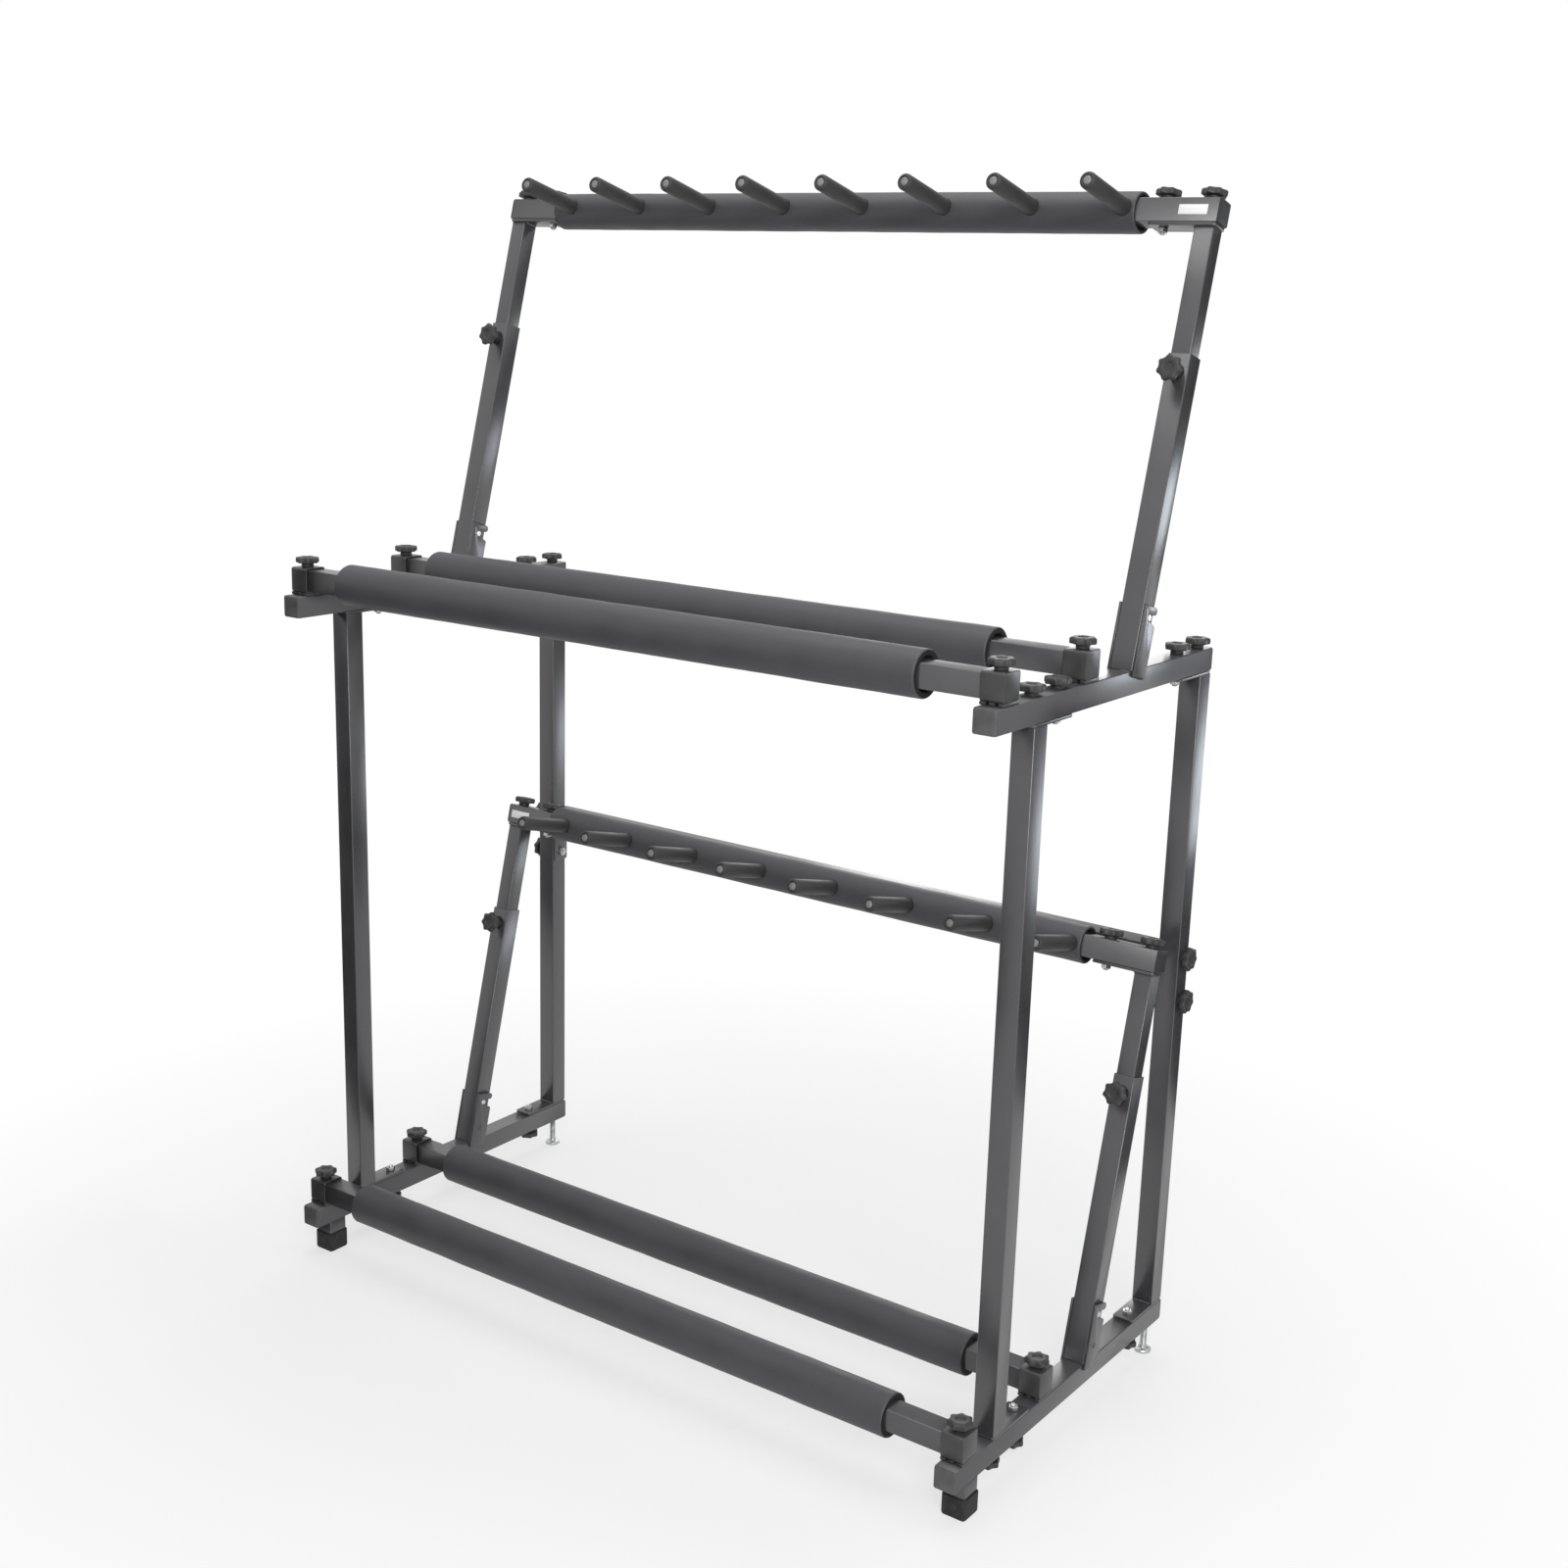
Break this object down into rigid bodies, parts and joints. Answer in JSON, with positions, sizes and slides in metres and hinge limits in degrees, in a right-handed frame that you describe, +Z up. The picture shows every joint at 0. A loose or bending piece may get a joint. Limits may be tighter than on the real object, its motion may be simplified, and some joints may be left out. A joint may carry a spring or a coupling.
{
  "type": "racket display stand",
  "caption": "Two-tier tubular steel stand: foam-padded rails hold racket heads, and adjustable leaning arms carry pegged hook rails for the handles.",
  "frame": {"origin": "floor level, middle of the footprint", "axes": "+X along the rails to the right as seen from the front, +Y to the back, +Z up"},
  "size_m": [0.9816, 0.46, 1.323],
  "materials": {
    "tube_paint": "satin black powder coat",
    "foam": "dark grey closed-cell foam, matte",
    "cap_plastic": "moulded black plastic",
    "knob_plastic": "moulded dark grey plastic",
    "foot_rubber": "matte",
    "bright_steel": "zinc plated"
  },
  "bodies": {
    "frame": {"lower_side_tube_left": "tube_paint", "lower_side_tube_right": "tube_paint", "lower_front_rail": "tube_paint", "lower_front_rail_foam": "foam", "lower_front_rail_cap_left": "cap_plastic", "lower_front_rail_cap_right": "cap_plastic", "lower_back_rail": "tube_paint", "lower_back_rail_foam": "foam", "lower_back_rail_cap_left": "cap_plastic", "lower_back_rail_cap_right": "cap_plastic", "lower_pivot_pin_left": "bright_steel", "lower_pivot_pin_right": "bright_steel", "upper_side_tube_left": "tube_paint", "upper_side_tube_right": "tube_paint", "upper_front_rail": "tube_paint", "upper_front_rail_foam": "foam", "upper_front_rail_cap_left": "cap_plastic", "upper_front_rail_cap_right": "cap_plastic", "upper_back_rail": "tube_paint", "upper_back_rail_foam": "foam", "upper_back_rail_cap_left": "cap_plastic", "upper_back_rail_cap_right": "cap_plastic", "upper_pivot_pin_left": "bright_steel", "upper_pivot_pin_right": "bright_steel", "front_post_left": "tube_paint", "rear_post_left": "tube_paint", "front_foot_left": "foot_rubber", "front_post_right": "tube_paint", "rear_post_right": "tube_paint", "front_foot_right": "foot_rubber", "rear_crossbar": "tube_paint"},
    "lower_arms": {"lower_arm_left": "tube_paint", "lower_arm_right": "tube_paint"},
    "lower_hooks": {"lower_inner_arm_left": "tube_paint", "lower_inner_arm_right": "tube_paint", "lower_hook_rail": "tube_paint", "lower_hook_foam": "foam"},
    "lower_front_rail_knob_left_turner": {"lower_front_rail_knob_left": "knob_plastic"},
    "lower_front_rail_knob_right_turner": {"lower_front_rail_knob_right": "knob_plastic"},
    "lower_back_rail_knob_left_turner": {"lower_back_rail_knob_left": "knob_plastic"},
    "lower_back_rail_knob_right_turner": {"lower_back_rail_knob_right": "knob_plastic"},
    "lower_clamp_knob_left_turner": {"lower_clamp_knob_left": "knob_plastic"},
    "lower_clamp_knob_right_turner": {"lower_clamp_knob_right": "knob_plastic"},
    "upper_arms": {"upper_arm_left": "tube_paint", "upper_arm_right": "tube_paint"},
    "upper_hooks": {"upper_inner_arm_left": "tube_paint", "upper_inner_arm_right": "tube_paint", "upper_hook_rail": "tube_paint", "upper_hook_foam": "foam"},
    "upper_front_rail_knob_left_turner": {"upper_front_rail_knob_left": "knob_plastic"},
    "upper_front_rail_knob_right_turner": {"upper_front_rail_knob_right": "knob_plastic"},
    "upper_back_rail_knob_left_turner": {"upper_back_rail_knob_left": "knob_plastic"},
    "upper_back_rail_knob_right_turner": {"upper_back_rail_knob_right": "knob_plastic"},
    "upper_clamp_knob_left_turner": {"upper_clamp_knob_left": "knob_plastic"},
    "upper_clamp_knob_right_turner": {"upper_clamp_knob_right": "knob_plastic"},
    "levelling_foot_left_screw": {"levelling_foot_left": "bright_steel"},
    "levelling_foot_right_screw": {"levelling_foot_right": "bright_steel"}
  },
  "joints": [
    {"name": "lower_front_rail_knob_left_turn", "type": "hinge", "parent": "frame", "child": "lower_front_rail_knob_left_turner", "pos_m": [-0.4675, -0.205, 0.0976], "axis": [0, 0, 1], "continuous": true},
    {"name": "lower_front_rail_knob_right_turn", "type": "hinge", "parent": "frame", "child": "lower_front_rail_knob_right_turner", "pos_m": [0.4675, -0.205, 0.0976], "axis": [0, 0, 1], "continuous": true},
    {"name": "lower_back_rail_knob_left_turn", "type": "hinge", "parent": "frame", "child": "lower_back_rail_knob_left_turner", "pos_m": [-0.4675, -0.048, 0.0976], "axis": [0, 0, 1], "continuous": true},
    {"name": "lower_back_rail_knob_right_turn", "type": "hinge", "parent": "frame", "child": "lower_back_rail_knob_right_turner", "pos_m": [0.4675, -0.048, 0.0976], "axis": [0, 0, 1], "continuous": true},
    {"name": "lower_clamp_knob_left_turn", "type": "hinge", "parent": "lower_arms", "child": "lower_clamp_knob_left_turner", "pos_m": [-0.4675, 0.12204, 0.35622], "axis": [0, -0.9707, 0.2401], "continuous": true},
    {"name": "lower_clamp_knob_right_turn", "type": "hinge", "parent": "lower_arms", "child": "lower_clamp_knob_right_turner", "pos_m": [0.4675, 0.12204, 0.35622], "axis": [0, -0.9707, 0.2401], "continuous": true},
    {"name": "lower_arm_fold", "type": "hinge", "parent": "frame", "child": "lower_arms", "pos_m": [0, 0.05432, 0.08247], "axis": [-1, 0, 0], "range_deg": [0, 2.5]},
    {"name": "lower_hook_slide", "type": "slide", "parent": "lower_arms", "child": "lower_hooks", "axis": [0, 0.2401, 0.9707], "range_m": [-0.11, 0.01]},
    {"name": "upper_front_rail_knob_left_turn", "type": "hinge", "parent": "frame", "child": "upper_front_rail_knob_left_turner", "pos_m": [-0.4675, -0.205, 0.8716], "axis": [0, 0, 1], "continuous": true},
    {"name": "upper_front_rail_knob_right_turn", "type": "hinge", "parent": "frame", "child": "upper_front_rail_knob_right_turner", "pos_m": [0.4675, -0.205, 0.8716], "axis": [0, 0, 1], "continuous": true},
    {"name": "upper_back_rail_knob_left_turn", "type": "hinge", "parent": "frame", "child": "upper_back_rail_knob_left_turner", "pos_m": [-0.4675, -0.048, 0.8716], "axis": [0, 0, 1], "continuous": true},
    {"name": "upper_back_rail_knob_right_turn", "type": "hinge", "parent": "frame", "child": "upper_back_rail_knob_right_turner", "pos_m": [0.4675, -0.048, 0.8716], "axis": [0, 0, 1], "continuous": true},
    {"name": "upper_clamp_knob_left_turn", "type": "hinge", "parent": "upper_arms", "child": "upper_clamp_knob_left_turner", "pos_m": [-0.4675, 0.12765, 1.12878], "axis": [0, -0.9659, 0.2588], "continuous": true},
    {"name": "upper_clamp_knob_right_turn", "type": "hinge", "parent": "upper_arms", "child": "upper_clamp_knob_right_turner", "pos_m": [0.4675, 0.12765, 1.12878], "axis": [0, -0.9659, 0.2588], "continuous": true},
    {"name": "upper_arm_fold", "type": "hinge", "parent": "frame", "child": "upper_arms", "pos_m": [0, 0.05466, 0.85639], "axis": [-1, 0, 0], "range_deg": [0, 60]},
    {"name": "upper_hook_slide", "type": "slide", "parent": "upper_arms", "child": "upper_hooks", "axis": [0, 0.2588, 0.9659], "range_m": [-0.11, 0.08]},
    {"name": "levelling_foot_left_adjust", "type": "slide", "parent": "frame", "child": "levelling_foot_left_screw", "axis": [0, 0, 1], "range_m": [-0.01, 0.02]},
    {"name": "levelling_foot_right_adjust", "type": "slide", "parent": "frame", "child": "levelling_foot_right_screw", "axis": [0, 0, 1], "range_m": [-0.01, 0.02]}
  ]
}
